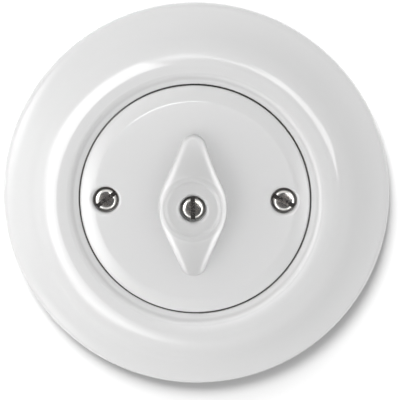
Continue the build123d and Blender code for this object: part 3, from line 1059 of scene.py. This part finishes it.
@dataclass
class Studio:
    """White wall, lamps, white surroundings and the camera, in degrees and metres."""

    wall_radius: float = 0.08
    wall_opening: float = 0.0496
    wall_steps: int = 128
    wall_gap: float = 0.0001
    wall_tone: str = "#D2D2D2"
    white: str = "#FFFFFF"
    tent_bright_tone: str = "#D6D6D6"
    tent_dim_tone: str = "#C6C6C6"
    bright_azimuth: float = -60.0
    bright_elevation: float = 25.0
    opening_tone: str = "#6A6A6C"
    opening_azimuth: float = 6.0
    opening_elevation: float = -5.0
    opening_half_angle: float = 24.0
    opening_edge: float = 14.0
    camera_azimuth: float = 2.0
    camera_elevation: float = 9.7
    camera_distance: float = 0.75
    sensor_mm: float = 36.0
    view_width: float = 0.10403
    aim_right: float = 0.00095
    aim_down: float = 0.00187
    # name, azimuth, elevation, distance, width, height and radiance of each, and what it lights
    lamps: tuple[Softbox, ...] = (
        # bands in the frame's swell: broad and white at the left, a thin strip at the upper right
        Softbox(
            "left_softbox", -34.0, -0.6, 1.0, 1.05, 0.95, 6.4, FRAME,
            roll=29.0, fade=(0.55, 0.0, 0.35, 0.3),
        ),
        Softbox("left_panel", -72.0, -6.0, 0.8, 0.9, 0.9, 0.8, FRAME, fade=(0.4, 0.2, 0.3, 0.3)),
        Softbox(
            "low_softbox", -28.0, -28.0, 1.0, 0.9, 0.9, 4.5, FRAME,
            fade=(0.4, 0.35, 0.4, 0.35),
        ),
        Softbox("top_softbox", -4.6, 19.0, 1.0, 0.55, 0.55, 4.0, FRAME, fade=BELL),
        Softbox(
            "right_softbox", 17.6, 11.5, 1.2, 0.72, 0.5, 5.0, FRAME,
            roll=-45.0, fade=(0.4, 0.0, 0.2, 0.25),
        ),
        # soft brightening of the plate's shoulder, and the fine line along its upper bend
        Softbox("left_glow", -38.0, -14.0, 1.0, 1.0, 1.1, 6.5, FACE, fade=BELL),
        Softbox("right_glow", 47.0, -6.0, 1.0, 1.0, 1.0, 4.5, FACE, fade=BELL),
        Softbox("bend_lamp", -4.9, 0.2, 1.0, 0.15, 0.19, 10.0, PLATE, roll=20.0),
        # pale bands along the knob's edges
        Softbox("left_edge_glow", -82.0, -8.0, 0.8, 1.2, 2.4, 7.0, KNOB, fade=SIDES),
        Softbox("right_edge_glow", 82.0, -8.0, 0.8, 1.2, 2.4, 7.5, KNOB, fade=SIDES),
        Softbox("left_flank_glow", -52.0, -8.0, 0.8, 0.8, 2.2, 4.5, KNOB, fade=GENTLE),
        Softbox("right_flank_glow", 50.0, -8.0, 0.8, 0.8, 2.2, 5.0, KNOB, fade=GENTLE),
        Softbox("top_edge_glow", -4.0, 78.0, 0.8, 1.0, 0.6, 5.0, KNOB),
        # bright rings round the screws' flats
        Softbox(
            "left_shine", -44.0, 2.0, 1.0, 0.75, 0.83, 5.0, SCREWS,
            roll=29.0, fade=(0.3, 0.3, 0.5, 0.2),
        ),
        Softbox(
            "right_shine", 17.6, 11.5, 1.2, 0.72, 0.45, 5.0, SCREWS,
            roll=-45.0, fade=(0.4, 0.0, 0.5, 0.5),
        ),
        Softbox("left_sheen", -70.0, -8.0, 0.8, 1.0, 2.2, 1.8, SCREWS),
        Softbox("right_sheen", 70.0, -8.0, 0.8, 1.0, 2.2, 1.8, SCREWS),
        # even light on the front, a little stronger from the left
        Softbox("front_left_fill", -16.0, 1.0, 1.0, 0.35, 0.5, 2.0, FRONT, Reach.EVEN),
        Softbox("front_right_fill", 14.0, 1.0, 1.0, 0.35, 0.5, 1.25, FRONT, Reach.EVEN),
        Softbox("left_fill", -50.0, -4.0, 0.32, 0.3, 0.3, 0.9, FRONT, Reach.SHADOWLESS),
        # the switch's shadow on the wall, to the lower right
        Softbox("wall_softbox", -23.5, 48.5, 1.2, 0.9, 0.85, 14.8, WALL, Reach.ALL),
    )

    def wall(self) -> bpy.types.Object:
        """Puts up a round of wall, which shows from the room only and is open behind the switch.

        Returns:
            The wall.
        """
        mesh = bpy.data.meshes.new("wall")
        turns = [math.tau * step / self.wall_steps for step in range(self.wall_steps)]
        corners = [
            (reach * math.cos(turn), self.wall_gap, reach * math.sin(turn))
            for reach in (self.wall_opening, self.wall_radius)
            for turn in turns
        ]
        faces = []
        for step in range(self.wall_steps):
            onward = (step + 1) % self.wall_steps
            faces.append((step, step + self.wall_steps, onward + self.wall_steps, onward))
        mesh.from_pydata(corners, [], faces)
        wall = bpy.data.objects.new("wall", mesh)
        bpy.context.scene.collection.objects.link(wall)
        paint = bpy.data.materials.new("white_wall_paint")
        paint.use_nodes = True
        tree = paint.node_tree
        tree.nodes.clear()
        dull = add_node(tree, "ShaderNodeBsdfDiffuse", {"Color": linear(self.wall_tone)})
        clear = add_node(tree, "ShaderNodeBsdfTransparent")
        side = add_node(tree, "ShaderNodeNewGeometry")
        seen = add_node(
            tree,
            "ShaderNodeMixShader",
            {},
            {0: side.outputs["Backfacing"], 1: dull.outputs["BSDF"], 2: clear.outputs["BSDF"]},
        )
        add_node(tree, "ShaderNodeOutputMaterial", {}, {"Surface": seen.outputs["Shader"]})
        mesh.materials.append(paint)
        return wall

    def surroundings(self) -> None:
        """Hangs a pale tent all round, brighter to one side, with a dark opening in front.

        Gloss mirrors white past the opening, and the camera sees white past the wall's edge.
        """
        world = bpy.data.worlds.new("light_tent")
        world.use_nodes = True
        tree = world.node_tree
        tree.nodes.clear()
        heading = add_node(tree, "ShaderNodeTexCoord").outputs["Generated"]
        side = add_node(
            tree,
            "ShaderNodeVectorMath",
            {"operation": "DOT_PRODUCT", 1: direction(self.bright_azimuth, self.bright_elevation)},
            {0: heading},
        )
        brightness = add_node(
            tree,
            "ShaderNodeMapRange",
            {"From Min": -1.0},
            {"Value": side.outputs["Value"]},
        )
        cloth = add_node(
            tree,
            "ShaderNodeMix",
            {
                "data_type": "RGBA",
                COLOUR_A: linear(self.tent_dim_tone),
                COLOUR_B: linear(self.tent_bright_tone),
            },
            {SHARE: brightness.outputs["Result"]},
        )
        nearness = add_node(
            tree,
            "ShaderNodeVectorMath",
            {
                "operation": "DOT_PRODUCT",
                1: direction(self.opening_azimuth, self.opening_elevation),
            },
            {0: heading},
        )
        opening = add_node(
            tree,
            "ShaderNodeMapRange",
            {
                "interpolation_type": "SMOOTHSTEP",
                "From Min": math.cos(math.radians(self.opening_half_angle + self.opening_edge)),
                "From Max": math.cos(math.radians(self.opening_half_angle)),
            },
            {"Value": nearness.outputs["Value"]},
        )
        ray = add_node(tree, "ShaderNodeLightPath")
        mirrored = add_node(
            tree,
            "ShaderNodeMath",
            {"operation": "MAXIMUM"},
            {0: ray.outputs["Is Glossy Ray"], 1: ray.outputs["Is Transmission Ray"]},
        )
        lining = add_node(
            tree,
            "ShaderNodeMix",
            {
                "data_type": "RGBA",
                COLOUR_A: linear(self.white),
                COLOUR_B: linear(self.opening_tone),
            },
            {SHARE: opening.outputs["Result"]},
        )
        tent = add_node(
            tree,
            "ShaderNodeMix",
            {"data_type": "RGBA"},
            {
                SHARE: mirrored.outputs["Value"],
                COLOUR_A: cloth.outputs[COLOUR_OUT],
                COLOUR_B: lining.outputs[COLOUR_OUT],
            },
        )
        seen = add_node(
            tree,
            "ShaderNodeMix",
            {"data_type": "RGBA", COLOUR_B: linear(self.white)},
            {SHARE: ray.outputs["Is Camera Ray"], COLOUR_A: tent.outputs[COLOUR_OUT]},
        )
        light = add_node(tree, "ShaderNodeBackground", {}, {"Color": seen.outputs[COLOUR_OUT]})
        add_node(tree, "ShaderNodeOutputWorld", {}, {"Surface": light.outputs["Background"]})
        bpy.context.scene.world = world

    def camera(self) -> None:
        """Sets the camera a little above and to the right of straight in front."""
        data = bpy.data.cameras.new("camera")
        data.sensor_width = self.sensor_mm
        data.lens = self.sensor_mm * self.camera_distance / self.view_width
        camera = bpy.data.objects.new("camera", data)
        outwards = direction(self.camera_azimuth, self.camera_elevation)
        camera.rotation_mode = "QUATERNION"
        camera.rotation_quaternion = (-outwards).to_track_quat("-Z", "Y")
        aim = camera.rotation_quaternion @ Vector((self.aim_right, -self.aim_down, 0))
        camera.location = aim + outwards * self.camera_distance
        bpy.context.scene.collection.objects.link(camera)
        bpy.context.scene.camera = camera

    def build(self, nodes: dict[str, bpy.types.Object]) -> None:
        """Sets up the wall, the surroundings, the lamps and the camera.

        Args:
            nodes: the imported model's nodes by name.
        """
        bpy.context.scene.view_settings.view_transform = "Standard"
        # the knob's bright edges would else throw light on the plate and wash out its contact shade
        bpy.context.scene.cycles.caustics_reflective = False
        lit = {**nodes, "wall": self.wall()}
        self.surroundings()
        for lamp in self.lamps:
            lamp.hang(lit)
            LOG.info("studio: %s", lamp.name)
        self.camera()


def main() -> None:
    """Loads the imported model, dresses it and sets up the studio."""
    logging.basicConfig(level=logging.INFO, format="%(message)s")
    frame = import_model()
    made: dict[str, bpy.types.Material] = {}
    for assembly in (Cover(), Carrier(), Works()):
        assembly.dress(frame, made)
    Studio().build(frame["nodes"])


if __name__ == "__main__":
    main()
